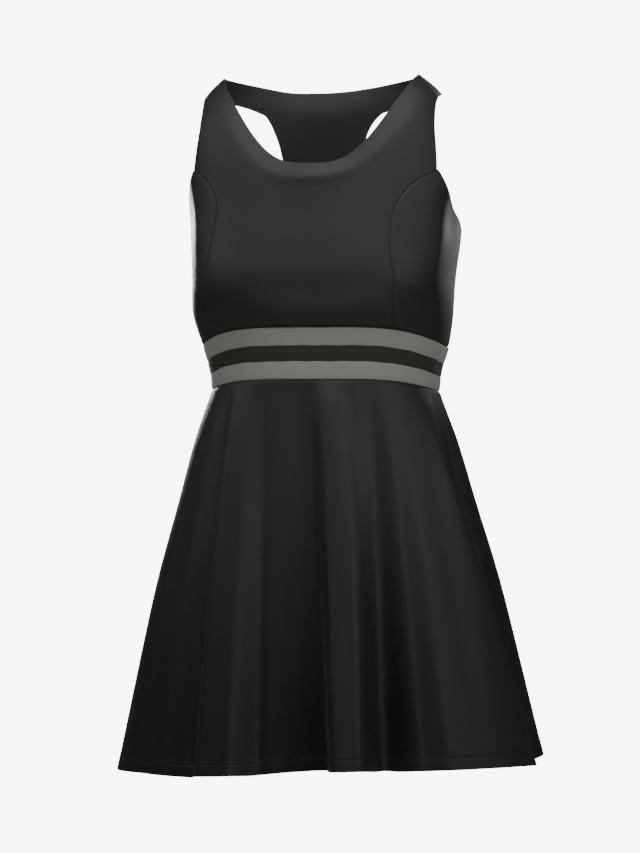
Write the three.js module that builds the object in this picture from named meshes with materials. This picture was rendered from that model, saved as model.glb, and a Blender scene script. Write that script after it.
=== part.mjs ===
// A sleeveless flared sports dress, filled out as it is worn, with nothing inside it.
// Millimetres. +X is the wearer's left, -Y the front, +Z up. The origin lies midway between
// the two shoulder straps, at the height of their neck edges, where the dress is held up.
import * as THREE from 'three';

const { lerp, mapLinear, degToRad, radToDeg, smoothstep, euclideanModulo } = THREE.MathUtils;

// Cloth
const BODICE_WALL = 1.6; // firm stretch jersey
const BAND_WALL = 2.0; // elastic webbing
const SKIRT_WALL = 1.2; // lighter stretch jersey
const HEM_WALL = 2.2; // the skirt's turned-up hem
const HEM_DEPTH = 16; // height of that hem
const SEAM_GAP = 0.3; // between sewn pieces
const STRIPE_HEIGHTS = { upper: 19, middle: 17.5, lower: 19 }; // along the waistband's front

// How the skirt hangs
const HEM_TILT = 0.022; // the hem hangs higher on the wearer's left, per mm across
const FOLD_LIFT = 0.12; // how far a fold that swings out lifts the hem, per mm
const FOLD_DRIFT = 0.6; // how soon a fold leaves its place at the waistband (1 is evenly)

// Mesh density
const BODICE_ROWS = { seam: 8, armhole: 12, strap: 3 };
const FRONT_COLUMNS = 32;
const SIDE_COLUMNS = 7;
const BACK_COLUMNS = 32;
const BAND_COLUMNS = 72;
const SKIRT_COLUMNS = 64;
const SKIRT_ROWS = 13;

// The bodice's rings, from the waistband seam (rise 0) to the neckline (rise 1).
// front, side and back with Z are the ring's heights at the centre front, side and centre back.
// halfWidth, front and back are its reach from its centre, which lies forward of the origin.
// frontFull and backFull square it up (2 is an ellipse), and dip shapes its fall from the sides.
// sideAside, frontAside and backAside are how far the worn cloth hangs off centre there, and
// turn is how many degrees it has slipped round the body.
const BODICE_RINGS = [
  {
    rise: 0.0, frontZ: -290, sideZ: -310, backZ: -306, halfWidth: 140, front: 101, back: 86, forward: 0,
    frontFull: 2.33, backFull: 2.33, dip: 6.5, sideAside: 0, frontAside: 0, backAside: 0, turn: -6,
  },
  {
    rise: 0.12, frontZ: -266, sideZ: -275, backZ: -273, halfWidth: 147.5, front: 115, back: 89, forward: 0,
    frontFull: 2.4, backFull: 2.3, dip: 5, sideAside: -2, frontAside: -2, backAside: -2, turn: -6,
  },
  {
    rise: 0.27, frontZ: -236, sideZ: -234, backZ: -232, halfWidth: 147.5, front: 119, back: 93, forward: 0,
    frontFull: 2.45, backFull: 2.3, dip: 3.5, sideAside: 0, frontAside: -3, backAside: -3, turn: -6,
  },
  {
    rise: 0.45, frontZ: -200, sideZ: -178, backZ: -176, halfWidth: 154, front: 112, back: 93, forward: 0,
    frontFull: 2.35, backFull: 2.3, dip: 2.8, sideAside: 1, frontAside: -4, backAside: -7, turn: -5,
  },
  {
    rise: 0.65, frontZ: -163, sideZ: -105, backZ: -116, halfWidth: 160, front: 101, back: 84, forward: 2,
    frontFull: 2.2, backFull: 2.2, dip: 2.9, sideAside: 1, frontAside: -6, backAside: -18, turn: -2,
  },
  {
    rise: 0.82, frontZ: -134, sideZ: -48, backZ: -62, halfWidth: 149, front: 91, back: 71, forward: 6,
    frontFull: 2.1, backFull: 2.1, dip: 3.3, sideAside: -2, frontAside: -7, backAside: -25, turn: 0,
  },
  {
    rise: 0.9, frontZ: -121, sideZ: -22, backZ: -36, halfWidth: 135, front: 87, back: 66, forward: 8,
    frontFull: 2.0, backFull: 2.1, dip: 3.5, sideAside: -2, frontAside: -6, backAside: -25, turn: 0,
  },
  {
    rise: 1.0, frontZ: -105.6, sideZ: 0, backZ: -12, halfWidth: 112, front: 80, back: 62, forward: 6,
    frontFull: 2.0, backFull: 2.1, dip: 3.5, sideAside: -4, frontAside: -3, backAside: -22, turn: 0,
  },
];
const STRAP_RISE = 0.9; // the ring that the armhole meets on the shoulder

// The bust's fullness, added to each side: where its crown is, how far it reaches, and the
// rise below which it fades into the waistband.
const BUST = { angle: 47, z: -238, out: 9, wide: 28, above: 66, below: 32, foot: 0.12 };

// Seams and edges on the bodice, as angles round it from the centre front and heights.
const PRINCESS_SEAM = [
  { angle: 53, z: -300 },
  { angle: 48.5, z: -255 },
  { angle: 46, z: -205 },
  { angle: 49, z: -160 },
  { angle: 57, z: -131 },
  { angle: 69, z: -113 },
];
const ARMHOLE_FOOT = [
  { angle: 69, z: -113 },
  { angle: 75, z: -136 },
  { angle: 84, z: -161 },
  { angle: 97, z: -178 },
];
const FRONT_ARMHOLE = [
  { angle: 69, z: -113 },
  { angle: 70, z: -90 },
  { angle: 72.5, z: -62 },
  { angle: 78, z: -38 },
  { angle: 90, z: -22 },
];
const BACK_ARMHOLE = [
  { angle: 97, z: -178 },
  { angle: 108, z: -174 },
  { angle: 122, z: -163 },
  { angle: 133.5, z: -147 },
  { angle: 142.5, z: -125 },
  { angle: 147, z: -100 },
  { angle: 145, z: -76 },
  { angle: 138, z: -52 },
  { angle: 127.5, z: -34 },
  { angle: 112, z: -26 },
  { angle: 100, z: -23 },
  { angle: 90, z: -22 },
];

// The waistband's rings, from its top (drop 0) to its bottom (drop 1).
const BAND_RINGS = [
  { drop: 0.0, frontZ: -290, sideZ: -310, backZ: -306, halfWidth: 140, front: 101, back: 86 },
  { drop: 0.5, frontZ: -318, sideZ: -335, backZ: -333, halfWidth: 132.5, front: 97, back: 83 },
  { drop: 1.0, frontZ: -346, sideZ: -358, backZ: -360, halfWidth: 129.5, front: 95, back: 84 },
];
const BAND_SHAPE = { full: 2.33, dip: 6.5 };

// The skirt's rings, from the waistband (drop 0) to the hem (drop 1), before its folds.
const SKIRT_RINGS = [
  {
    drop: 0.0, frontZ: -346, sideZ: -358, backZ: -360,
    halfWidth: 129.5, front: 95, back: 84, full: 2.33, dip: 6.5,
  },
  {
    drop: 0.13, frontZ: -402, sideZ: -413, backZ: -414,
    halfWidth: 148, front: 108, back: 104, full: 2.25, dip: 5,
  },
  {
    drop: 0.3, frontZ: -474, sideZ: -485, backZ: -486,
    halfWidth: 167.5, front: 124, back: 121, full: 2.15, dip: 4,
  },
  {
    drop: 0.5, frontZ: -558, sideZ: -569, backZ: -569,
    halfWidth: 191, front: 141, back: 137, full: 2.1, dip: 3,
  },
  {
    drop: 0.75, frontZ: -664, sideZ: -675, backZ: -673,
    halfWidth: 216, front: 162, back: 156, full: 2.0, dip: 3,
  },
  {
    drop: 1.0, frontZ: -771, sideZ: -782, backZ: -778,
    halfWidth: 239, front: 180, back: 172, full: 2.0, dip: 3,
  },
];

// The skirt's crests and hollows, round from the wearer's right front: the angle from the
// centre front where each starts at the waistband and where it ends at the hem, and how far
// out it stands at the hem.
const SKIRT_FOLDS = [
  { waist: -74, hem: -66, out: 9 },
  { waist: -58, hem: -40, out: -7 },
  { waist: -45, hem: -28, out: 15 },
  { waist: -25, hem: -9, out: -15 },
  { waist: -3, hem: 8, out: -17 },
  { waist: 5, hem: 14, out: 14 },
  { waist: 26, hem: 22, out: 8 },
  { waist: 42, hem: 36, out: -18 },
  { waist: 58, hem: 50, out: 13 },
  { waist: 78, hem: 74, out: 15 },
  { waist: 92, hem: 90, out: -14 },
  { waist: 106, hem: 106, out: 19 },
  { waist: 128, hem: 130, out: -14 },
  { waist: 148, hem: 152, out: 13 },
  { waist: 168, hem: 172, out: -15 },
  { waist: 190, hem: 194, out: 15 },
  { waist: 210, hem: 216, out: -13 },
  { waist: 232, hem: 238, out: 13 },
  { waist: 254, hem: 260, out: -12 },
  { waist: 270, hem: 276, out: -1 },
];

// How much lower than its ring the hem hangs round the front, in millimetres.
const HEM_SAG = [
  { angle: -90, sag: 0 },
  { angle: -62, sag: 1 },
  { angle: -38, sag: 5 },
  { angle: -22, sag: 4 },
  { angle: 0, sag: 0.5 },
  { angle: 40, sag: -1 },
  { angle: 66, sag: -2.5 },
  { angle: 90, sag: 0 },
];
const SAG_START = 0.4; // the drop where that begins

const JERSEY = { color: 0x1d1b1d, roughness: 0.75, metalness: 0 };
const WEBBING_GREY = { color: 0x6a6b65, roughness: 0.8, metalness: 0 };
const WEBBING_BLACK = { color: 0x20201e, roughness: 0.8, metalness: 0 };

// Smooth curves through a table's columns: the result gives a whole row at any key value.
function tableCurve(table, key) {
  const columns = Object.keys(table[0]).filter((column) => column !== key);
  const keys = table.map((row) => row[key]);
  const values = table.flatMap((row) => columns.map((column) => row[column]));
  const curve = new THREE.CubicInterpolant(keys, values, columns.length);
  return (at) => {
    const found = curve.evaluate(at);
    return Object.fromEntries(columns.map((column, k) => [column, found[k]]));
  };
}

const bodiceRing = tableCurve(BODICE_RINGS, 'rise');
const bandRing = tableCurve(BAND_RINGS, 'drop');
const skirtRing = tableCurve(SKIRT_RINGS, 'drop');
const hemSag = tableCurve(HEM_SAG, 'angle');

// The distance from a ring's centre to its edge at an angle from the centre front.
function ringReach(angle, ring, full) {
  const across = Math.abs(Math.sin(angle));
  const along = Math.abs(Math.cos(angle));
  const depth = Math.cos(angle) > 0 ? ring.front : ring.back;
  return ((across / ring.halfWidth) ** full + (along / depth) ** full) ** (-1 / full);
}

// The height of a ring at an angle: level with its side, then falling to its front or back.
function ringHeight(angle, ring, dip) {
  const endZ = Math.cos(angle) > 0 ? ring.frontZ : ring.backZ;
  return lerp(endZ, ring.sideZ, Math.abs(Math.sin(angle)) ** dip);
}

function ringPoint(angle, reach, z, forward) {
  return new THREE.Vector3(reach * Math.sin(angle), -reach * Math.cos(angle) - forward, z);
}

function bell(offset, below, above) {
  const width = offset > 0 ? above : below;
  return Math.exp(-((offset / width) ** 2));
}

// How far the bust stands out from a ring at an angle, a height and a rise.
function bustOut(angle, z, rise) {
  const fromFront = radToDeg(Math.acos(Math.cos(angle)));
  const round = bell(fromFront - BUST.angle, BUST.wide, BUST.wide);
  const up = bell(z - BUST.z, BUST.below, BUST.above);
  return BUST.out * round * up * Math.min(1, rise / BUST.foot);
}

function bodicePoint(angle, rise) {
  const ring = bodiceRing(rise);
  const round = angle + degToRad(ring.turn);
  const isFront = Math.cos(round) > 0;
  const z = ringHeight(round, ring, ring.dip);
  const reach = ringReach(round, ring, isFront ? ring.frontFull : ring.backFull);
  const point = ringPoint(round, reach + bustOut(round, z, rise), z, ring.forward);
  point.x += lerp(ring.sideAside, isFront ? ring.frontAside : ring.backAside, Math.cos(round) ** 2);
  return point;
}

function bandPoint(angle, drop) {
  const ring = bandRing(drop);
  const reach = ringReach(angle, ring, BAND_SHAPE.full);
  return ringPoint(angle, reach, ringHeight(angle, ring, BAND_SHAPE.dip), 0);
}

// How far the skirt's folds stand out at the hem, at an angle and a drop: each crest and
// hollow runs smoothly into the next.
function foldOut(angle, drop) {
  const places = SKIRT_FOLDS.map((fold) => lerp(fold.waist, fold.hem, drop ** FOLD_DRIFT));
  const first = places[0];
  const degrees = first + euclideanModulo(radToDeg(angle) - first, 360);
  let k = places.length - 1;
  while (places[k] > degrees) k -= 1;
  const next = (k + 1) % places.length;
  const nextPlace = next === 0 ? first + 360 : places[next];
  const share = smoothstep(degrees, places[k], nextPlace);
  return lerp(SKIRT_FOLDS[k].out, SKIRT_FOLDS[next].out, share);
}

function skirtPoint(angle, drop) {
  const ring = skirtRing(drop);
  const out = drop * foldOut(angle, drop);
  const reach = ringReach(angle, ring, ring.full) + out;
  const point = ringPoint(angle, reach, ringHeight(angle, ring, ring.dip), 0);
  point.z += drop * (FOLD_LIFT * out + HEM_TILT * point.x);
  const degrees = euclideanModulo(radToDeg(angle) + 180, 360) - 180;
  point.z -= smoothstep(drop, SAG_START, 1) * hemSag(degrees).sag;
  return point;
}

// The two directions along a surface that is given as a function of an angle and a rise or drop.
const NORMAL_STEP = 1e-3;

function stepRound(surface, angle, at) {
  return surface(angle + NORMAL_STEP, at).sub(surface(angle - NORMAL_STEP, at));
}

function stepAlong(surface, angle, at) {
  return surface(angle, at + NORMAL_STEP).sub(surface(angle, at - NORMAL_STEP));
}

// The outward normal of the bodice, whose rise goes up, and of the skirt, whose drop goes down.
function bodiceNormal(angle, rise) {
  return stepRound(bodicePoint, angle, rise).cross(stepAlong(bodicePoint, angle, rise)).normalize();
}

function skirtNormal(angle, drop) {
  return stepAlong(skirtPoint, angle, drop).cross(stepRound(skirtPoint, angle, drop)).normalize();
}

// A normal without slope: at the waistband every piece faces straight out, so edges meet square.
function levelNormal(surface, angle, at) {
  const round = stepRound(surface, angle, at);
  return new THREE.Vector3(round.y, -round.x, 0).normalize();
}

// One cloth wall on a grid of points, rows from the bottom up and columns round from the
// wearer's right to left. It grows inwards. Sewn edges draw back by half the seam gap.
function clothWall(grid, normals, wallAt, sewn) {
  const rows = grid.length;
  const columns = grid[0].length;
  const outer = grid.map((row) => row.map((point) => point.clone()));
  const inner = grid.map((row, j) => row.map((point, i) => (
    point.clone().addScaledVector(normals[j][i], -wallAt(j))
  )));
  const roundIndex = (i) => (sewn.isRing ? (i + columns) % columns : Math.min(columns - 1, Math.max(0, i)));
  const rowIndex = (j) => Math.min(rows - 1, Math.max(0, j));

  const drawBack = (j, i, along, inside) => {
    const inwards = inside.clone().sub(grid[j][i]);
    inwards.addScaledVector(along, -inwards.dot(along)).setLength(SEAM_GAP / 2);
    outer[j][i].add(inwards);
    inner[j][i].add(inwards);
  };
  const drawBackRow = (j, insideRow) => {
    for (let i = 0; i < columns; i += 1) {
      const along = grid[j][roundIndex(i + 1)].clone().sub(grid[j][roundIndex(i - 1)]).normalize();
      drawBack(j, i, along, insideRow[i]);
    }
  };
  const drawBackSide = (j, i, insideColumn) => {
    const along = grid[rowIndex(j + 1)][i].clone().sub(grid[rowIndex(j - 1)][i]).normalize();
    drawBack(j, i, along, grid[j][insideColumn]);
  };
  if (sewn.bottom) drawBackRow(0, grid[1]);
  if (sewn.top) drawBackRow(rows - 1, grid[rows - 2]);
  for (let j = 0; j < rows; j += 1) {
    if (!sewn.isRing && sewn.sides(j)) {
      drawBackSide(j, 0, 1);
      drawBackSide(j, columns - 1, columns - 2);
    }
  }

  const points = [...outer.flat(), ...inner.flat()];
  const indices = [];
  const outerAt = (j, i) => j * columns + (i % columns);
  const innerAt = (j, i) => rows * columns + outerAt(j, i);
  const addSquare = (a, b, c, d) => {
    // Each square is split along its shorter diagonal.
    const isShorter = points[a].distanceTo(points[c]) <= points[b].distanceTo(points[d]);
    indices.push(...(isShorter ? [a, b, c, a, c, d] : [a, b, d, b, c, d]));
  };
  const spans = sewn.isRing ? columns : columns - 1;
  for (let i = 0; i < spans; i += 1) {
    for (let j = 0; j < rows - 1; j += 1) {
      addSquare(outerAt(j, i), outerAt(j, i + 1), outerAt(j + 1, i + 1), outerAt(j + 1, i));
      addSquare(innerAt(j, i), innerAt(j + 1, i), innerAt(j + 1, i + 1), innerAt(j, i + 1));
    }
    const top = rows - 1;
    addSquare(innerAt(0, i), innerAt(0, i + 1), outerAt(0, i + 1), outerAt(0, i));
    addSquare(outerAt(top, i), outerAt(top, i + 1), innerAt(top, i + 1), innerAt(top, i));
  }
  if (!sewn.isRing) {
    const last = columns - 1;
    for (let j = 0; j < rows - 1; j += 1) {
      addSquare(outerAt(j, 0), outerAt(j + 1, 0), innerAt(j + 1, 0), innerAt(j, 0));
      addSquare(innerAt(j, last), innerAt(j + 1, last), outerAt(j + 1, last), outerAt(j, last));
    }
  }
  const geometry = new THREE.BufferGeometry().setFromPoints(points);
  geometry.setIndex(indices);
  geometry.computeVertexNormals();
  return geometry;
}

function meshOf(name, geometry, look) {
  const mesh = new THREE.Mesh(geometry, new THREE.MeshStandardMaterial(look));
  mesh.name = name;
  return mesh;
}

// The rise at which the bodice reaches a height, at one angle.
function riseAt(angle, z) {
  const HALVINGS = 40;
  let low = 0;
  let high = 1;
  for (let i = 0; i < HALVINGS; i += 1) {
    const middle = (low + high) / 2;
    if (bodicePoint(angle, middle).z < z) low = middle;
    else high = middle;
  }
  return (low + high) / 2;
}

// The places on the bodice at equal shares along an edge's table.
function edgePlaces(table, spans) {
  const knots = table.map((row) => {
    const angle = degToRad(row.angle);
    return new THREE.Vector3(angle, riseAt(angle, row.z), 0);
  });
  const curve = new THREE.CatmullRomCurve3(knots, false, 'centripetal');
  return curve.getSpacedPoints(spans).map((point) => ({ angle: point.x, rise: point.y }));
}

// A bodice panel from its grid of places. Its lowest row is sewn to the waistband.
function bodicePanel(places, isSewn) {
  const grid = places.map((row) => row.map(({ angle, rise }) => bodicePoint(angle, rise)));
  const normals = places.map((row, j) => row.map(({ angle, rise }) => (
    j === 0 ? levelNormal(bodicePoint, angle, 0) : bodiceNormal(angle, rise)
  )));
  return clothWall(grid, normals, () => BODICE_WALL, { bottom: true, sides: isSewn });
}

// The outer edge of the front or back, from the waistband up: seam, armhole and shoulder.
function panelEdge(seam, armhole) {
  const shoulder = [];
  for (let k = 1; k <= BODICE_ROWS.strap; k += 1) {
    shoulder.push({ angle: Math.PI / 2, rise: lerp(STRAP_RISE, 1, k / BODICE_ROWS.strap) });
  }
  return [...seam, ...armhole.slice(1), ...shoulder];
}

// The front or back, symmetrical about a middle angle: each row bends from its rise at the
// middle to meet the panel's edge.
function mainPlaces(edge, middleRises, middle, columns) {
  return edge.map((corner, j) => {
    const reach = Math.abs(corner.angle - middle);
    return Array.from({ length: columns + 1 }, (_, i) => {
      const share = (2 * i) / columns - 1;
      return { angle: middle + reach * share, rise: lerp(middleRises[j], corner.rise, share ** 2) };
    });
  });
}

// The rises of the back's rows at its middle: halfway between its edge's rises and even ones.
function backRises(edge, underarmRise) {
  const { seam, armhole, strap } = BODICE_ROWS;
  const shoulder = seam + armhole;
  return edge.map((corner, j) => {
    let even = mapLinear(j, 0, seam, 0, underarmRise);
    if (j > seam) even = mapLinear(j, seam, shoulder, underarmRise, STRAP_RISE);
    if (j > shoulder) even = mapLinear(j, shoulder, shoulder + strap, STRAP_RISE, 1);
    return (corner.rise + even) / 2;
  });
}

// A side panel between the princess seam and the side seam, its top row bent to the armhole.
function sidePlaces(princess, sideSeam, armholeFoot, side) {
  const rows = princess.length;
  const between = (j, across) => ({
    angle: lerp(princess[j].angle, sideSeam[j].angle, across),
    rise: lerp(princess[j].rise, sideSeam[j].rise, across),
  });
  return princess.map((_, j) => {
    const bend = (j / (rows - 1)) ** 2;
    const row = armholeFoot.map((foot, i) => {
      const across = i / SIDE_COLUMNS;
      const place = between(j, across);
      const top = between(rows - 1, across);
      return {
        angle: side * (place.angle + bend * (foot.angle - top.angle)),
        rise: place.rise + bend * (foot.rise - top.rise),
      };
    });
    return side < 0 ? row.reverse() : row;
  });
}

function bodiceMeshes() {
  const { seam, armhole } = BODICE_ROWS;
  const princess = edgePlaces(PRINCESS_SEAM, seam);
  const armholeFoot = edgePlaces(ARMHOLE_FOOT, SIDE_COLUMNS);
  const underarm = armholeFoot.at(-1);
  const sideSeam = princess.map((_, j) => ({ angle: underarm.angle, rise: (underarm.rise * j) / seam }));
  const frontEdge = panelEdge(princess, edgePlaces(FRONT_ARMHOLE, armhole));
  const backEdge = panelEdge(sideSeam, edgePlaces(BACK_ARMHOLE, armhole));
  const frontRises = frontEdge.map((corner) => corner.rise);
  const front = mainPlaces(frontEdge, frontRises, 0, FRONT_COLUMNS);
  const back = mainPlaces(backEdge, backRises(backEdge, underarm.rise), Math.PI, BACK_COLUMNS);
  const isSewn = (j) => j <= seam || j >= seam + armhole;
  const sideGeometry = (side) => (
    bodicePanel(sidePlaces(princess, sideSeam, armholeFoot, side), () => true)
  );
  return [
    meshOf('bodice_front', bodicePanel(front, isSewn), JERSEY),
    meshOf('bodice_side_right', sideGeometry(-1), JERSEY),
    meshOf('bodice_side_left', sideGeometry(1), JERSEY),
    meshOf('bodice_back', bodicePanel(back, isSewn), JERSEY),
  ];
}

// The waistband: one closed ring for each stripe.
function waistbandMeshes() {
  const looks = { upper: WEBBING_GREY, middle: WEBBING_BLACK, lower: WEBBING_GREY };
  const height = Object.values(STRIPE_HEIGHTS).reduce((sum, stripe) => sum + stripe, 0);
  const angles = Array.from({ length: BAND_COLUMNS }, (_, i) => (2 * Math.PI * i) / BAND_COLUMNS);
  let top = 0;
  return Object.entries(STRIPE_HEIGHTS).map(([stripe, stripeHeight]) => {
    const bottom = top + stripeHeight / height;
    const drops = [bottom, top];
    top = bottom;
    const grid = drops.map((drop) => angles.map((angle) => bandPoint(angle, drop)));
    const normals = drops.map((drop) => angles.map((angle) => levelNormal(bandPoint, angle, drop)));
    const geometry = clothWall(grid, normals, () => BAND_WALL, { bottom: true, top: true, isRing: true });
    return meshOf(`waistband_${stripe}`, geometry, looks[stripe]);
  });
}

// The skirt's rows, from the hem up: the turned hem, the step at its top, then even rows.
function skirtRows() {
  const length = SKIRT_RINGS[0].frontZ - SKIRT_RINGS.at(-1).frontZ;
  const hemTop = 1 - HEM_DEPTH / length;
  const hemStep = hemTop - (HEM_WALL - SKIRT_WALL) / length;
  const rows = [
    { drop: 1, wall: HEM_WALL },
    { drop: hemTop, wall: HEM_WALL },
    { drop: hemStep, wall: SKIRT_WALL },
  ];
  for (let j = 1; j <= SKIRT_ROWS; j += 1) {
    rows.push({ drop: hemStep * (1 - j / SKIRT_ROWS), wall: SKIRT_WALL });
  }
  return rows;
}

function skirtPanel(from, to) {
  const rows = skirtRows();
  const angles = Array.from({ length: SKIRT_COLUMNS + 1 }, (_, i) => lerp(from, to, i / SKIRT_COLUMNS));
  const grid = rows.map(({ drop }) => angles.map((angle) => skirtPoint(angle, drop)));
  const normals = rows.map(({ drop }) => angles.map((angle) => (
    drop === 0 ? levelNormal(bandPoint, angle, 1) : skirtNormal(angle, drop)
  )));
  return clothWall(grid, normals, (j) => rows[j].wall, { top: true, sides: () => true });
}

function pickleballDress() {
  const dress = new THREE.Group();
  dress.name = 'pickleball_dress';
  dress.add(...bodiceMeshes());
  dress.add(...waistbandMeshes());
  dress.add(meshOf('skirt_front', skirtPanel(-Math.PI / 2, Math.PI / 2), JERSEY));
  dress.add(meshOf('skirt_back', skirtPanel(Math.PI / 2, (3 * Math.PI) / 2), JERSEY));
  return dress;
}

export default pickleballDress();
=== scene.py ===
"""A sleeveless flared sports dress, filled out as it is worn, with nothing inside it.

Runs as a script in Blender 4.5. The tables are in millimetres and degrees, and the meshes in
metres. +X is the wearer's left, -Y the front and +Z up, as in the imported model.
"""

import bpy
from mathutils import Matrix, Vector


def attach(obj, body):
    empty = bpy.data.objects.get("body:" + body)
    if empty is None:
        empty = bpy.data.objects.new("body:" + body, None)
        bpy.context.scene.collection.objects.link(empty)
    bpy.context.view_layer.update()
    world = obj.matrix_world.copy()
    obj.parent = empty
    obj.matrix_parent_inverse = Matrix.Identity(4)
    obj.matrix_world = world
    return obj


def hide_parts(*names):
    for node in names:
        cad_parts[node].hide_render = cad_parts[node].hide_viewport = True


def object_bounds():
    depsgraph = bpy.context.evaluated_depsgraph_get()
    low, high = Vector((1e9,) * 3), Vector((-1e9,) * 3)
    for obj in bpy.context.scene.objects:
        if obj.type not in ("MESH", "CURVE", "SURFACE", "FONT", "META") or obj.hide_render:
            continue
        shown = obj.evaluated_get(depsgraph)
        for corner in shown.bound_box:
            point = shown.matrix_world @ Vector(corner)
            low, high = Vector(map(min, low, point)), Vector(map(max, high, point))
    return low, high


bl_info = {
    "name": "Pickleball dress",
    "version": (1, 0, 0),
    "blender": (4, 5, 0),
    "location": "3D View > Sidebar > Dress",
    "description": "Builds the cloth, waistband, stitching and studio of a sports dress",
    "category": "Object",
}

import math
from types import SimpleNamespace

import bpy
import numpy as np
from mathutils import Vector
from mathutils.kdtree import KDTree

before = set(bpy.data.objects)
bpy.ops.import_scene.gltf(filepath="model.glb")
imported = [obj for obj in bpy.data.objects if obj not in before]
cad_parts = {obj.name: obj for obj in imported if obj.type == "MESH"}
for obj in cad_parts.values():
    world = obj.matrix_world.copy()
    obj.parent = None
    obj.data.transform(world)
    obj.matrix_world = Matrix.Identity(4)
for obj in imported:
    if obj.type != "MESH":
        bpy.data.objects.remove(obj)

MM = 0.001
CAD_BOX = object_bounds()

# The bodice's rings, from the waistband seam (rise 0) to the neckline (rise 1).
BODICE_COLUMNS = (
    "rise front_z side_z back_z half_width front back forward front_full back_full dip "
    "side_aside front_aside back_aside turn"
).split()
BODICE_RINGS = (
    (0.0, -290, -310, -306, 140, 101, 86, 0, 2.33, 2.33, 6.5, 0, 0, 0, -6),
    (0.12, -266, -275, -273, 147.5, 115, 89, 0, 2.4, 2.3, 5, -2, -2, -2, -6),
    (0.27, -236, -234, -232, 147.5, 119, 93, 0, 2.45, 2.3, 3.5, 0, -3, -3, -6),
    (0.45, -200, -178, -176, 154, 112, 93, 0, 2.35, 2.3, 2.8, 1, -4, -7, -5),
    (0.65, -163, -105, -116, 160, 101, 84, 2, 2.2, 2.2, 2.9, 1, -6, -18, -2),
    (0.82, -134, -48, -62, 149, 91, 71, 6, 2.1, 2.1, 3.3, -2, -7, -25, 0),
    (0.9, -121, -22, -36, 135, 87, 66, 8, 2.0, 2.1, 3.5, -2, -6, -25, 0),
    (1.0, -105.6, 0, -12, 112, 80, 62, 6, 2.0, 2.1, 3.5, -4, -3, -22, 0),
)
STRAP_RISE = 0.9
BUST = SimpleNamespace(angle=47, z=-238, out=9, wide=28, above=66, below=32, foot=0.12)

# Seams and edges on the bodice: an angle from the centre front and a height.
PRINCESS_SEAM = ((53, -300), (48.5, -255), (46, -205), (49, -160), (57, -131), (69, -113))
ARMHOLE_FOOT = ((69, -113), (75, -136), (84, -161), (97, -178))
FRONT_ARMHOLE = ((69, -113), (70, -90), (72.5, -62), (78, -38), (90, -22))
BACK_ARMHOLE = (
    (97, -178), (108, -174), (122, -163), (133.5, -147), (142.5, -125), (147, -100),
    (145, -76), (138, -52), (127.5, -34), (112, -26), (100, -23), (90, -22),
)

# Soft hollows and ridges that the worn bodice has: angle, height, out, then how far each
# reaches along itself and across itself, and how it leans from upright.
BODICE_CREASES = (
    (76, -158, -3.2, 34, 12, 18),
    (66, -192, 1.6, 30, 12, 26),
    (-74, -158, -2.2, 30, 11, -16),
    (-60, -185, 1.2, 30, 14, -20),
    (12, -262, 0.8, 40, 12, 78),
    (110, -230, -1.8, 46, 13, 40),
    (128, -262, 1.5, 44, 12, 62),
    (160, -212, -1.6, 60, 14, 74),
    (196, -236, 1.4, 56, 13, 98),
    (222, -262, -1.7, 44, 12, 118),
    (246, -226, 1.5, 46, 14, 140),
    (172, -150, 1.2, 48, 16, 20),
    (188, -128, -1.2, 40, 14, -14),
)

# The waistband's rings, from its top (drop 0) to its bottom (drop 1).
BAND_COLUMNS = "drop front_z side_z back_z half_width front back".split()
BAND_RINGS = (
    (0.0, -290, -310, -306, 140, 101, 86),
    (0.5, -318, -335, -333, 132.5, 97, 83),
    (1.0, -346, -358, -360, 129.5, 95, 84),
)
BAND_FULL = 2.33
BAND_DIP = 6.5
STRIPE_HEIGHTS = {"upper": 19, "middle": 17.5, "lower": 19}

# The skirt's rings, from the waistband (drop 0) to the hem (drop 1), before its folds.
SKIRT_COLUMNS = "drop front_z side_z back_z half_width front back full dip".split()
SKIRT_RINGS = (
    (0.0, -346, -358, -360, 129.5, 95, 84, 2.33, 6.5),
    (0.13, -402, -413, -414, 148, 108, 104, 2.25, 5),
    (0.3, -474, -485, -486, 167.5, 124, 121, 2.15, 4),
    (0.5, -558, -569, -569, 191, 141, 137, 2.1, 3),
    (0.75, -664, -675, -673, 216, 162, 156, 2.0, 3),
    (1.0, -771, -782, -778, 239, 180, 172, 2.0, 3),
)
SKIRT_LENGTH = 425
HEM_TILT = 0.022
FOLD_LIFT = 0.12
FOLD_DRIFT = 0.6

# The main crests and hollows: angle at the waistband, angle at the hem, how far out at the hem.
SKIRT_FOLDS = (
    (-74, -66, 9), (-62, -50, 6), (-54, -40, -4), (-48, -32, 17), (-41, -24, 11), (-30, -17, -25),
    (-16, -5, -34), (-4, 9.2, -36), (8, 12.8, 15), (22, 19, 13), (36, 33, -28), (44, 41, 2),
    (52, 49, 14), (60, 75, 18), (72, 83, -12), (90, 92, -18), (106, 106, 19), (128, 130, -19),
    (148, 152, 14), (168, 172, -21), (190, 194, 16), (210, 216, -19), (232, 238, 14),
    (254, 260, -18), (270, 276, -1),
)
FOLD_GROWTH = 0.75
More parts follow.
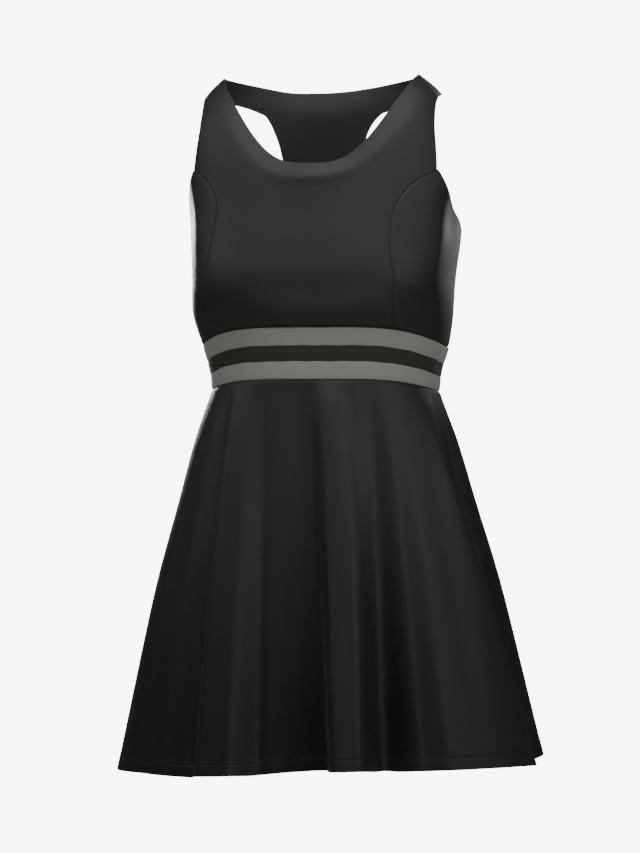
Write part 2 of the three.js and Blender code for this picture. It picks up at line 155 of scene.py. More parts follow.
# Finer ridges and troughs between them: angle at the waistband, angle at the hem, the drop
# where each is deepest, how long it is as a share of the skirt, how far out, and how wide.
SKIRT_RIPPLES = (
    (-66, -57, 0.75, 0.5, -2.4, 13),
    (-50, -33, 0.2, 0.25, 2.6, 10),
    (-38, -20, 0.16, 0.2, -2.2, 11),
    (-22, -14, 0.12, 0.14, 1.8, 12),
    (-10, -2, 0.16, 0.2, -2.0, 10),
    (-14, -4, 0.8, 0.4, 2.0, 14),
    (12, 17, 0.14, 0.26, 3.4, 15),
    (24, 26, 0.14, 0.2, -2.6, 9),
    (34, 31, 0.4, 0.35, 4.5, 14),
    (44, 40, 0.16, 0.2, 2.2, 12),
    (60, 58, 0.5, 0.4, -2.0, 15),
    (70, 66, 0.14, 0.2, 2.4, 11),
    (84, 82, 0.5, 0.4, -2.2, 12),
    (118, 118, 0.6, 0.4, 2.4, 14),
    (138, 141, 0.3, 0.3, -2.4, 12),
    (158, 162, 0.7, 0.4, 2.2, 14),
    (180, 184, 0.25, 0.3, -2.4, 13),
    (201, 205, 0.6, 0.4, 2.4, 13),
    (221, 226, 0.35, 0.3, -2.2, 12),
    (243, 249, 0.7, 0.4, 2.2, 13),
    (262, 268, 0.3, 0.3, 2.2, 12),
)
# Folds that lap over: angle at the waistband and at the hem, the drop where each starts, the
# step's height, how far it laps, how round its edge is, and which side lies on top.
SKIRT_LAPS = (
    (2.2, 11.0, 0.55, 3.0, 1.5, 4.0, 1),
    (-56, -38.5, 0.6, 5.0, 1.6, 5.0, -1),
    (62, 78, 0.02, 7.0, 2.4, 3.6, -1),
    (139, 143, 0.35, 5.0, 1.2, 6.0, -1),
    (221, 228, 0.30, 5.0, 1.2, 6.0, 1),
)
# How much lower the hem hangs in places than its ring: angle and height.
HEM_SAG = ((-90, 0), (-62, 1.0), (-38, 5.0), (-22, 4.0), (0, 0.5), (40, -1.0), (66, -2.5), (90, 0))
SAG_START = 0.4
# The drops over which ripples and laps begin, how far round a lap reaches, and the deepest
# trough that still pulls the hem down.
RIPPLE_START = 0.06
LAP_FADE = 0.35
LAP_REACH = 26
LIFT_LIMIT = -18

# Rough reaches and lengths in millimetres, which turn angles and shares into distances.
CREASE_REACH = 125
PANEL_REACH = 130
SEAM_LENGTH = 190
STRAP_LENGTH = 15
MAIN_WIDTH = 300
SIDE_WIDTH = 62
SKIRT_WIDTH = 620
# How far in from a sewn edge the first columns lie.
EDGE_STEPS = (0, 0.5, 1.1, 1.8, 2.7, 4.0, 5.8)
SKIRT_EDGE_STEPS = (0, 0.6, 1.3, 2.2, 3.4, 5.0)


def smooth_rows(rows, at):
    """Whole rows of a table at any key: a cubic through the rows, uncurved at both ends."""
    table = np.asarray(rows, float)
    keys, values = table[:, 0], table[:, 1:]
    at = np.clip(np.asarray(at, float), keys[0], keys[-1])
    last = len(keys) - 1
    after = np.clip(np.searchsorted(keys, at, side="right"), 1, last)
    before = after - 1
    span = keys[after] - keys[before]
    earlier = np.where(before > 0, before - 1, after)
    later = np.where(after < last, np.minimum(after + 1, last), before)
    pull_before = span / 2 / (keys[before] - keys[earlier])
    pull_after = span / 2 / (keys[later] - keys[after])
    p = (at - keys[before]) / span
    parts = (
        (earlier, -pull_before * p**3 + 2 * pull_before * p**2 - pull_before * p),
        (before, (1 + pull_before) * p**3 - (1.5 + 2 * pull_before) * p**2 + (pull_before - 0.5) * p + 1),
        (after, -(1 + pull_after) * p**3 + (1.5 + pull_after) * p**2 + 0.5 * p),
        (later, pull_after * p**3 - pull_after * p**2),
    )
    return sum(weight[..., None] * values[index] for index, weight in parts)


def ring_at(columns, rows, at):
    found = smooth_rows(rows, at)
    return SimpleNamespace(**{name: found[..., k] for k, name in enumerate(columns[1:])})


def mix(a, b, share):
    return a + (b - a) * share


def smoothstep(low, high, at):
    share = np.clip((at - low) / (high - low), 0, 1)
    return share * share * (3 - 2 * share)


def ring_reach(angle, ring, full):
    """The distance from a ring's centre to its edge at an angle from the centre front."""
    depth = np.where(np.cos(angle) > 0, ring.front, ring.back)
    across = np.abs(np.sin(angle)) / ring.half_width
    along = np.abs(np.cos(angle)) / depth
    return (across**full + along**full) ** (-1 / full)


def ring_height(angle, ring, dip):
    end_z = np.where(np.cos(angle) > 0, ring.front_z, ring.back_z)
    return mix(end_z, ring.side_z, np.abs(np.sin(angle)) ** dip)


def wrapped(degrees, centre):
    """Degrees from a centre, the short way round."""
    return (degrees - centre + 180) % 360 - 180


def bell(at, width):
    return np.exp(-((at / width) ** 2))


def unit(vectors):
    return vectors / np.linalg.norm(vectors, axis=-1, keepdims=True)


def bust_out(angle, z, rise):
    from_front = np.degrees(np.arccos(np.cos(angle)))
    width = np.where(z > BUST.z, BUST.above, BUST.below)
    around, up = bell(from_front - BUST.angle, BUST.wide), bell(z - BUST.z, width)
    return BUST.out * around * up * np.minimum(1, rise / BUST.foot)


def crease_out(angle, z):
    """How far the bodice's soft creases stand out at an angle and a height."""
    out = np.zeros_like(z)
    for degrees, height, far, long, wide, lean in BODICE_CREASES:
        side = np.radians(wrapped(np.degrees(angle), degrees)) * CREASE_REACH
        up = z - height
        tilt = math.radians(lean)
        along = up * math.cos(tilt) + side * math.sin(tilt)
        across = side * math.cos(tilt) - up * math.sin(tilt)
        out += far * np.exp(-((along / long) ** 2) - (across / wide) ** 2)
    return out


def bodice_point(angle, rise):
    """A point on the bodice's outer face, in millimetres."""
    angle, rise = np.broadcast_arrays(np.asarray(angle, float), np.asarray(rise, float))
    ring = ring_at(BODICE_COLUMNS, BODICE_RINGS, rise)
    around = angle + np.radians(ring.turn)
    is_front = np.cos(around) > 0
    z = ring_height(around, ring, ring.dip)
    reach = ring_reach(around, ring, np.where(is_front, ring.front_full, ring.back_full))
    edge_fade = smoothstep(0, 0.1, rise) * smoothstep(1, 0.92, rise)
    reach = reach + bust_out(around, z, rise) + edge_fade * crease_out(around, z)
    end_aside = np.where(is_front, ring.front_aside, ring.back_aside)
    x = reach * np.sin(around) + mix(ring.side_aside, end_aside, np.cos(around) ** 2)
    y = -reach * np.cos(around) - ring.forward
    return np.stack((x, y, z), -1)


def band_point(angle, drop):
    ring = ring_at(BAND_COLUMNS, BAND_RINGS, drop)
    reach = ring_reach(angle, ring, BAND_FULL)
    z = ring_height(angle, ring, BAND_DIP)
    return np.stack((reach * np.sin(angle), -reach * np.cos(angle), z), -1)


def fold_out(degrees, drift):
    """How far the main folds stand out at the hem, for one row of angles."""
    folds = np.asarray(SKIRT_FOLDS, float)
    places = mix(folds[:, 0], folds[:, 1], drift)
    outs = np.append(folds[:, 2], folds[0, 2])
    turned = places[0] + (degrees - places[0]) % 360
    places = np.append(places, places[0] + 360)
    k = np.clip(np.searchsorted(places, turned, side="right") - 1, 0, len(folds) - 1)
    share = (turned - places[k]) / (places[k + 1] - places[k])
    return mix(outs[k], outs[k + 1], smoothstep(0, 1, share))


def skirt_row(angles, drop):
    """One row of the skirt's outer face, in millimetres, with its folds, ripples and laps."""
    ring = ring_at(SKIRT_COLUMNS, SKIRT_RINGS, drop)
    degrees = np.degrees(angles)
    drift = drop**FOLD_DRIFT
    out = drop**FOLD_GROWTH * fold_out(degrees, drift)
    reach = ring_reach(angles, ring, float(ring.full)) + out

    def beside(waist, hem):
        """Millimetres round the row from the line of one fold."""
        return np.radians(wrapped(degrees, mix(waist, hem, drift))) * reach

    ripple = np.zeros_like(angles)
    for waist, hem, deepest, long, far, wide in SKIRT_RIPPLES:
        ripple += far * bell(drop - deepest, long) * bell(beside(waist, hem), wide)
    ripple *= float(smoothstep(0, RIPPLE_START, drop))
    sideways = np.zeros_like(angles)
    for waist, hem, start, step, lap, round_edge, top_side in SKIRT_LAPS:
        strength = float(smoothstep(start, start + LAP_FADE, drop))
        side = top_side * beside(waist, hem) / round_edge
        ripple += strength * step * 0.5 * np.tanh(1.2 * side) * bell(side * round_edge, LAP_REACH)
        sideways -= strength * top_side * lap * side * np.exp(0.5 - 0.5 * side**2)
    reach = reach + ripple
    sag = smooth_rows(HEM_SAG, wrapped(degrees, 0))[..., 0] * smoothstep(SAG_START, 1, drop)
    lift = FOLD_LIFT * np.maximum(out, LIFT_LIMIT) + HEM_TILT * reach * np.sin(angles)
    z = ring_height(angles, ring, float(ring.dip)) + drop * lift - sag
    x = reach * np.sin(angles) + sideways * np.cos(angles)
    y = -reach * np.cos(angles) + sideways * np.sin(angles)
    return np.stack((x, y, z), -1)


def centripetal(points, per_span):
    """A centripetal curve through points, with evenly many samples between each two."""
    points = np.asarray(points, float)
    padded = np.vstack((2 * points[0] - points[1], points, 2 * points[-1] - points[-2]))
    share = np.linspace(0, 1, per_span, endpoint=False)[:, None]
    samples = []
    for k in range(len(points) - 1):
        p0, p1, p2, p3 = padded[k : k + 4]
        gap0, gap1, gap2 = (math.sqrt(np.linalg.norm(b - a)) for a, b in ((p0, p1), (p1, p2), (p2, p3)))
        slope1 = gap1 * ((p1 - p0) / gap0 - (p2 - p0) / (gap0 + gap1) + (p2 - p1) / gap1)
        slope2 = gap1 * ((p2 - p1) / gap1 - (p3 - p1) / (gap1 + gap2) + (p3 - p2) / gap2)
        square = 3 * (p2 - p1) - 2 * slope1 - slope2
        cube = 2 * (p1 - p2) + slope1 + slope2
        samples.append(p1 + slope1 * share + square * share**2 + cube * share**3)
    return np.vstack((*samples, points[-1:]))


def rise_at(angle, z):
    """The rise at which the plain bodice reaches a height, at one angle."""
    low, high = 0.0, 1.0
    for _ in range(40):
        middle = (low + high) / 2
        if bodice_point(angle, middle)[..., 2] < z:
            low = middle
        else:
            high = middle
    return (low + high) / 2


def edge_places(table, shares):
    """Angles and rises on the bodice at shares along an edge's table."""
    knots = [(math.radians(angle), rise_at(math.radians(angle), z)) for angle, z in table]
    line = centripetal(knots, 120)
    along = np.concatenate(([0], np.cumsum(np.linalg.norm(np.diff(line, axis=0), axis=1))))
    at = np.asarray(shares) * along[-1]
    return np.stack([np.interp(at, along, line[:, k]) for k in (0, 1)], -1)


def grid_lengths(points, axis):
    """Distances along a grid's rows (axis 1) or columns (axis 0), from its first line."""
    steps = np.linalg.norm(np.diff(points, axis=axis), axis=2)
    lengths = np.cumsum(steps, axis=axis)
    zero = np.zeros_like(np.take(lengths, [0], axis=axis))
    return np.concatenate((zero, lengths), axis=axis)


def eased_shares(count, length, steps):
    """Shares from 0 to 1 that close up to the given steps at both ends of an edge."""
    start = np.asarray(steps) / length
    middle = np.linspace(start[-1], 1 - start[-1], count - 2 * len(steps) + 2)
    return np.concatenate((start[:-1], middle, 1 - start[:-1][::-1]))


def grid_normals(points, is_ring):
    """Outward normals of a grid whose rows go round from right to left and up."""
    if is_ring:
        around = np.roll(points, -1, axis=1) - np.roll(points, 1, axis=1)
    else:
        around = np.gradient(points, axis=1)
    return unit(np.cross(around, np.gradient(points, axis=0)))


def add_object(name, data):
    """A new object in the scene: a mesh, a light or a camera."""
    added = bpy.data.objects.new(name, data)
    bpy.context.scene.collection.objects.link(added)
    return added


RIM_STEPS = 4
JOIN_SPAN = 0.3
# The outer face's finish and the inner face's. The inner face's colours are lighter, partly as painted light
# on the inner back seen through the neckline.
JERSEY = ("knitted_jersey", "jersey_inside")


def cloth_shell(name, outer, normals, wall, finishes, is_ring=False):
    """A closed cloth wall: an outer grid in millimetres, rows from the bottom up, its inner
    face a wall's thickness inside it, and a rounded rim. Its UV map is in metres of cloth."""
    rows, columns = outer.shape[:2]
    thick = np.broadcast_to(np.asarray(wall, float), (rows, columns))[..., None]
    count = rows * columns
    points = [outer.reshape(-1, 3), (outer - normals * thick).reshape(-1, 3)]
    index = np.arange(count).reshape(rows, columns)
    if is_ring:
        index = np.concatenate((index, index[:, :1]), axis=1)
    a, b = index[:-1, :-1].ravel(), index[:-1, 1:].ravel()
    c, d = index[1:, 1:].ravel(), index[1:, :-1].ravel()
    faces = [np.stack((a, b, c, d), 1), np.stack((a, d, c, b), 1) + count]

    def add_rim(loop, inside):
        """Rounds off one edge, given its vertices and the vertices one line further in."""
        edge = points[0][loop]
        normal = normals.reshape(-1, 3)[loop]
        half = thick.reshape(-1, 1)[loop] / 2
        away = edge - points[0][inside]
        away = unit(away - normal * np.sum(away * normal, axis=1, keepdims=True))
        centre = edge - normal * half
        layers = [loop]
        start = sum(len(p) for p in points)
        for k in range(1, RIM_STEPS):
            turn = math.pi * k / RIM_STEPS
            points.append(centre + half * (away * math.sin(turn) + normal * math.cos(turn)))
            layers.append(np.arange(start, start + len(loop)))
            start += len(loop)
        layers.append(loop + count)
        for low, high in zip(layers, layers[1:]):
            low, high = np.append(low, low[0]), np.append(high, high[0])
            faces.append(np.stack((low[1:], low[:-1], high[:-1], high[1:]), 1))

    if is_ring:
        add_rim(index[0, :-1], index[1, :-1])
        add_rim(index[-1, :-1][::-1], index[-2, :-1][::-1])
    else:
        near = [np.clip(np.arange(size), 1, size - 2) for size in (rows, columns)]
        inside = index[np.ix_(*near)]
        border = ((0, slice(0, -1)), (slice(0, -1), -1), (-1, slice(None, 0, -1)), (slice(None, 0, -1), 0))
        add_rim(*(np.concatenate([grid[place] for place in border]) for grid in (index, inside)))
    vertices = np.vstack(points) * MM
    faces = np.vstack(faces)
    mesh = bpy.data.meshes.new(name)
    mesh.from_pydata(vertices, [], faces, shade_flat=False)
    faces_inward = ((faces >= count) & (faces < 2 * count)).all(axis=1)
    mesh.polygons.foreach_set("material_index", faces_inward.astype(int))
    add_cloth_map(mesh, outer, vertices, faces, is_ring)
    for finish in finishes:
        mesh.materials.append(finish_named(finish))
    mesh.validate()
    return add_object(name, mesh)


def add_cloth_map(mesh, outer, vertices, faces, is_ring):
    """Lays the weave's map on a shell: metres round the row, and metres up the cloth."""
    rows, columns = outer.shape[:2]
    count = rows * columns
    around = grid_lengths(outer, 1)
    around -= around[:, columns // 2 : columns // 2 + 1]
    up = grid_lengths(outer, 0).mean(axis=1, keepdims=True) + np.zeros((1, columns))
    flat = np.stack((around.ravel(), up.ravel()), 1) * MM
    tree = KDTree(count)
    for k in range(count):
        tree.insert(vertices[k], k)
    tree.balance()
    nearest = [tree.find(place)[1] for place in vertices[2 * count :]]
    corner = np.vstack((flat, flat, flat[nearest]))[faces.ravel()]
    if is_ring:
        along = corner[:, 0].reshape(-1, 4)
        crosses = np.ptp(along, axis=1, keepdims=True) > JOIN_SPAN
        girth = float(np.linalg.norm(outer[0, 0] - outer[0, -1])) * MM + np.ptp(around) * MM
        corner[:, 0] = (along + np.where(crosses & (along < 0), girth, 0)).ravel()
    mesh.uv_layers.new(name="cloth").data.foreach_set("uv", corner.ravel())


def tuck_edges(points, normals, deep, wide, left=0, right=0, bottom=0):
    """Turns sewn edges inwards: left, right and bottom say how strongly along each."""
    along = grid_lengths(points, 1)
    edges = ((left, along), (right, along[:, -1:] - along), (bottom, grid_lengths(points, 0)))
    sunk = np.zeros(points.shape[:2])
    for strength, distance in edges:
        sunk = np.maximum(sunk, strength * bell(distance, wide))
    return points - normals * (deep * sunk)[..., None]


# Finishes


def set_up(tree, node, **settings):
    """Sets up a node. A setting named in_ and an input's name or number goes to that input, as
    a value, or as a link where it is another node's socket."""
    for name, value in settings.items():
        if not name.startswith("in_"):
            setattr(node, name, value)
            continue
        key = name[3:]
        socket = node.inputs[int(key) if key.isdigit() else key.replace("_", " ")]
        if isinstance(value, bpy.types.NodeSocket):
            tree.links.new(value, socket)
        else:
            socket.default_value = value
    return node


def add_node(tree, kind, **settings):
    return set_up(tree, tree.nodes.new(kind), **settings)


def maths(tree, operation, *values):
    """The result of a maths node, whose values are numbers or sockets."""
    inputs = {f"in_{k}": value for k, value in enumerate(values)}
    return add_node(tree, "ShaderNodeMath", operation=operation, **inputs).outputs[0]


def wave(tree, turns):
    return maths(tree, "SINE", maths(tree, "MULTIPLY", turns, math.tau))


def new_group(name, inputs, outputs, tree_kind="ShaderNodeTree"):
    """A node group with named sockets, each a kind, a name and perhaps a default."""
    group = bpy.data.node_groups.new(name, tree_kind)
    for side, sockets in (("INPUT", inputs), ("OUTPUT", outputs)):
        for kind, label, *default in sockets:
            socket = group.interface.new_socket(name=label, in_out=side, socket_type=f"NodeSocket{kind}")
            if default:
                socket.default_value = default[0]
    return group, group.nodes.new("NodeGroupInput").outputs, group.nodes.new("NodeGroupOutput").inputs


def relief_group(name, width, height, relief):
    """A height that follows the cloth's own map, in columns and rows of two named sizes."""
    inputs = ("Vector", "Cloth map"), ("Float", *width), ("Float", *height)
    group, given, result = new_group(name, inputs, [("Float", "Height")])
    place = add_node(group, "ShaderNodeSeparateXYZ", in_0=given["Cloth map"]).outputs
    column = maths(group, "DIVIDE", place[0], given[width[0]])
    row = maths(group, "DIVIDE", place[1], given[height[0]])
    group.links.new(relief(group, column, row), result["Height"])


def knit_relief(tree, column, row):
    """Rows of fine knitted loops that lean from the middle of their column."""
    across = maths(tree, "PINGPONG", column, 0.5)
    course = maths(tree, "ADD", row, maths(tree, "MULTIPLY", across, 1.4))
    rib = maths(tree, "MULTIPLY", wave(tree, across), 0.65)
    return maths(tree, "MULTIPLY_ADD", wave(tree, course), 0.35, rib)


def webbing_relief(tree, column, row):
    """The fine cross ribs of elastic webbing, with its lengthways rows."""
    rib = maths(tree, "MULTIPLY", wave(tree, column), 0.3)
    return maths(tree, "MULTIPLY_ADD", wave(tree, row), 0.7, rib)


def mottle_group():
    """Slight unevenness in a cloth's dye and nap: a colour between two, and a roughness."""
    group, given, result = new_group(
        "Cloth mottle",
        (
            ("Color", "Colour", (0.013, 0.012, 0.013, 1)),
            ("Color", "Second colour", (0.02, 0.018, 0.02, 1)),
            ("Float", "Patch scale", 9.0),
            ("Float", "Fibre scale", 1400.0),
            ("Float", "Roughness", 0.7),
        ),
        (("Color", "Colour"), ("Float", "Roughness"), ("Float", "Fibre")),
    )
    place = add_node(group, "ShaderNodeTexCoord").outputs["Object"]
    patches, fibres = (
        add_node(group, "ShaderNodeTexNoise", in_Vector=place, in_Scale=given[scale], in_Detail=detail)
        for scale, detail in (("Patch scale", 3.0), ("Fibre scale", 2.0))
    )
    fibres = fibres.outputs[0]
    blend = maths(group, "MULTIPLY_ADD", patches.outputs[0], 0.7, maths(group, "MULTIPLY", fibres, 0.3))
    colour = add_node(
        group, "ShaderNodeMix", data_type="RGBA", clamp_factor=True,
        in_0=blend, in_6=given["Colour"], in_7=given["Second colour"],
    )
    uneven = maths(group, "MULTIPLY", maths(group, "SUBTRACT", blend, 0.5), 0.12)
    group.links.new(colour.outputs[2], result["Colour"])
    group.links.new(maths(group, "ADD", given["Roughness"], uneven), result["Roughness"])
    group.links.new(fibres, result["Fibre"])


# Each cloth finish: its colours' name in the settings, its relief, its roughness, its sheen and
# the sheen's roughness, its specular level, the tint of both, and the relief's strength and depth.
CLOTH_FINISHES = {
    "knitted_jersey": (
        "jersey", "Knit loops", 0.58, (0.03, 0.35), 0.3, (1, 0.9, 0.98, 1), (0.25, 0.0001),
    ),
    # The inner side is rougher and duller than the outer face. Its colours are lighter: partly the reverse
    # face's own greyer tone, and partly painted light for the inner back seen through the neckline.
    "jersey_inside": (
        "inside", "Knit loops", 0.72, (0.08, 0.5), 0.3, (1, 0.95, 0.98, 1), (0.3, 0.0001),
    ),
    "grey_stripe_webbing": (
        "grey_stripe", "Webbing ribs", 0.78, (0.1, 0.4), 0.25, (1, 1, 0.96, 1), (0.3, 0.00015),
    ),
    "black_stripe_webbing": (
        "black_stripe", "Webbing ribs", 0.8, (0.06, 0.4), 0.2, (1, 0.97, 0.9, 1), (0.3, 0.00015),
    ),
}
THREAD_LIGHTER = 1.6


def mottled_material(name, colour, second_colour, roughness, specular):
    """A material with a mottled colour, returned with its tree, shader and mottle nodes."""
    material = bpy.data.materials.new(name)
    material.use_nodes = True
    tree = material.node_tree
    shader = tree.nodes["Principled BSDF"]
    mottle = add_node(
        tree, "ShaderNodeGroup", node_tree=bpy.data.node_groups["Cloth mottle"],
        in_Colour=colour, in_Second_colour=second_colour, in_Roughness=roughness,
    )
    set_up(
        tree, shader, in_Base_Color=mottle.outputs["Colour"], in_Roughness=mottle.outputs["Roughness"],
        in_Specular_IOR_Level=specular,
    )
    return material, tree, shader, mottle


def cloth_material(name, colours):
    """A cloth finish: mottled colour, and a knit or rib relief on the cloth's own map."""
    slot, relief, roughness, sheen, specular, tint, bump = CLOTH_FINISHES[name]
    pair = getattr(colours, slot), getattr(colours, slot + "_light")
    material, tree, shader, mottle = mottled_material(name, *pair, roughness, specular)
    cloth_map = add_node(tree, "ShaderNodeUVMap", uv_map="cloth").outputs[0]
    weave = add_node(
        tree, "ShaderNodeGroup", node_tree=bpy.data.node_groups[relief], in_Cloth_map=cloth_map
    )
    height = maths(tree, "MULTIPLY_ADD", mottle.outputs["Fibre"], 0.8, weave.outputs["Height"])
    pressed = add_node(tree, "ShaderNodeBump", in_Strength=bump[0], in_Distance=bump[1], in_Height=height)
    set_up(
        tree, shader, in_Sheen_Weight=sheen[0], in_Sheen_Roughness=sheen[1], in_Sheen_Tint=tint,
        in_Specular_Tint=tint, in_Normal=pressed.outputs[0],
    )
    return material


def finish_named(name):
    """One of the dress's finishes, made the first time that a piece needs it."""
    found = bpy.data.materials.get(name)
    if found:
        return found
    if "Cloth mottle" not in bpy.data.node_groups:
        mottle_group()
        relief_group("Knit loops", ("Wale width", 0.0006), ("Course height", 0.0005), knit_relief)
        relief_group("Webbing ribs", ("Rib width", 0.0011), ("Row height", 0.0016), webbing_relief)
    colours = bpy.context.scene.dress_colours
    if name in CLOTH_FINISHES:
        return cloth_material(name, colours)
    lighter = [part * THREAD_LIGHTER for part in colours.thread[:3]] + [1]
    return mottled_material(name, colours.thread, lighter, roughness=0.5, specular=0.4)[0]


# Settings


def colour_property(label, description, default):
    return bpy.props.FloatVectorProperty(
        name=label, description=description, default=(*default, 1), size=4, min=0, max=1, subtype="COLOR"
    )


def number_property(label, description, default, unit="NONE", **limits):
    return bpy.props.FloatProperty(
        name=label, description=description, default=default, unit=unit, **limits
    )


def length_property(label, description, default):
    return number_property(label, description, default, "LENGTH", min=0, precision=5)


def power_property(label, description, default):
    return number_property(label, description, default, "POWER", min=0)


class DressSizes(bpy.types.PropertyGroup):
    bodice_wall: length_property("Bodice cloth", "Thickness of the bodice's jersey", 0.0016)
    band_wall: length_property("Waistband", "Thickness of the elastic webbing", 0.002)
    skirt_wall: length_property("Skirt cloth", "Thickness of the skirt's jersey", 0.0012)
    hem_wall: length_property("Hem", "Thickness of the skirt's turned-up hem", 0.0022)
    hem_depth: length_property("Hem depth", "Height of the turned-up hem", 0.016)
    stitch_pitch: length_property("Stitch pitch", "Distance from one hem stitch to the next", 0.003)
    stitch_length: length_property("Stitch length", "Length of one hem stitch", 0.0023)
    stitch_width: length_property("Stitch width", "Width of the hem's thread", 0.0005)


class DressColours(bpy.types.PropertyGroup):
    jersey: colour_property("Jersey", "The black jersey", (0.0078, 0.007, 0.0076))
    jersey_light: colour_property("Jersey, light", "The jersey's lighter patches", (0.0103, 0.0091, 0.01))
    # The inner side's colours are about three times lighter than the outer jersey's: partly the reverse
    # face's own greyer tone, and partly painted light on the inner back seen through the neckline.
    inside: colour_property("Jersey inside", "The jersey's duller inner side", (0.028, 0.0265, 0.0272))
    inside_light: colour_property("Jersey inside, light", "Its lighter patches", (0.036, 0.034, 0.035))
    grey_stripe: colour_property("Grey stripe", "The waistband's outer stripes", (0.15, 0.149, 0.137))
    grey_stripe_light: colour_property("Grey stripe, light", "Their lighter patches", (0.178, 0.176, 0.162))
    black_stripe: colour_property("Black stripe", "The waistband's middle stripe", (0.016, 0.0152, 0.0126))
    black_stripe_light: colour_property("Black stripe, light", "Its lighter patches", (0.021, 0.02, 0.0168))
    thread: colour_property("Thread", "The hem's thread", (0.012, 0.011, 0.012))
    floor: colour_property("Floor", "The pale floor", (0.82, 0.82, 0.82))


class DressStudio(bpy.types.PropertyGroup):
    azimuth: number_property(
        "Camera angle", "How far round to the wearer's left the camera stands", math.radians(10), "ROTATION"
    )
    distance: length_property("Camera distance", "From the camera to the dress's axis", 3.2)
    height: number_property("Camera height", "Its height above the straps", -0.399, "LENGTH")
    aside: length_property("Camera aside", "How far the camera stands to its own left", 0.0068)
    lens: number_property("Lens", "The camera's focal length", 118.5, "CAMERA", min=1)
    floor_depth: length_property("Floor below the hem", "From the hem down to the floor", 0.5)
    key: power_property("Key light", "The soft light close in front and above", 15)
    side_right: power_property("Right side light", "The soft light beside the wearer's right", 8)
    side_left: power_property("Left side light", "The soft light beside the wearer's left", 22)
    rim_right: power_property("Right rim light", "The narrow light behind the wearer's right", 1.3)
    rim_left: power_property("Left rim light", "The small light behind the wearer's left", 0.5)
    low: power_property("Low light", "The small light in front of and below the bust", 0.26)
    surroundings: number_property("Surroundings", "Light from the white room", 0.06, min=0)


# Pieces


def finish_piece(piece, node):
    """Every piece of the dress rides on the one body and stands for its own solid."""
    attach(piece, "root")
    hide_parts(node)


BODICE_ROWS = {"seam": 60, "armhole": 84, "strap": 18}
SIDE_SPANS = 34
MAIN_SPANS = 140
NECK_INSET = 0.995
SEAM_FOOT = 0.0008
SEAM_INSET = 0.2


def seam_shares():
    """Shares up a seam from the waistband, closer together at its foot."""
    fine = np.array([0, 0.4, 0.9, 1.5, 2.3, 3.5]) / SEAM_LENGTH
    even = np.linspace(5 / SEAM_LENGTH, 1, BODICE_ROWS["seam"] - len(fine) + 1)
    return np.concatenate((fine, even))


def main_edge(seam, armhole_table):
    """The outer edge of the front or back, from the waistband up: seam, armhole, shoulder."""
    armhole = edge_places(armhole_table, np.linspace(0, 1, BODICE_ROWS["armhole"] + 1))[1:]
    fine = 1 - np.array([5, 3.5, 2.3, 1.4, 0.7, 0]) / STRAP_LENGTH
    shares = np.concatenate((np.linspace(0, fine[0], BODICE_ROWS["strap"] - len(fine) + 2)[1:], fine[1:]))
    rises = mix(STRAP_RISE, NECK_INSET, shares)
    shoulder = np.stack((np.full(len(rises), math.pi / 2), rises), -1)
    return np.vstack((seam, armhole, shoulder))


def main_places(edge, middle_rises, middle, gap):
    """The front's or back's grid of angles and rises, drawn in from its edges by a gap a row."""
    across = 2 * eased_shares(MAIN_SPANS + 1, MAIN_WIDTH, EDGE_STEPS) - 1
    reach = np.abs(edge[:, :1] - middle)
    width = 2 * reach * PANEL_REACH
    across = across[None] * (1 - 2 * gap / width)
    rises = middle_rises[:, None] + (edge[:, 1:] - middle_rises[:, None]) * across**2
    return middle + reach * across, rises


def back_rises(edge, underarm_rise):
    """Rises of the back's rows at its middle: halfway between its edge's and even ones."""
    seam, armhole = BODICE_ROWS["seam"], BODICE_ROWS["armhole"]
    knots = (0, seam, seam + armhole, len(edge) - 1)
    even = np.interp(np.arange(len(edge)), knots, (edge[0, 1], underarm_rise, STRAP_RISE, NECK_INSET))
    return (edge[:, 1] + even) / 2


def side_places(princess, side_seam, foot, gap):
    """The left side panel's grid, its top row bent to the armhole's foot."""
    shares = eased_shares(SIDE_SPANS + 1, SIDE_WIDTH, EDGE_STEPS[:6])
    span = side_seam - princess
    width = np.linalg.norm(span * (PANEL_REACH, SEAM_LENGTH), axis=1)[:, None]
    across = gap / width + shares[None] * (1 - 2 * gap / width)
    place = princess[:, None] + span[:, None] * across[..., None]
    even = np.linspace(0, 1, len(foot))
    foot_line = np.stack([np.interp(across[-1], even, foot[:, k]) for k in (0, 1)], -1)
    rows = np.linspace(0, 1, len(princess))[:, None, None]
    place = place + rows**2 * (foot_line - place[-1])[None]
    return place[..., 0], place[..., 1]


def bodice_normals(angles, rises):
    step = 1e-3
    around = bodice_point(angles + step, rises) - bodice_point(angles - step, rises)
    above, below = np.minimum(rises + step, 1), np.maximum(rises - step, 0)
    return unit(np.cross(around, bodice_point(angles, above) - bodice_point(angles, below)))


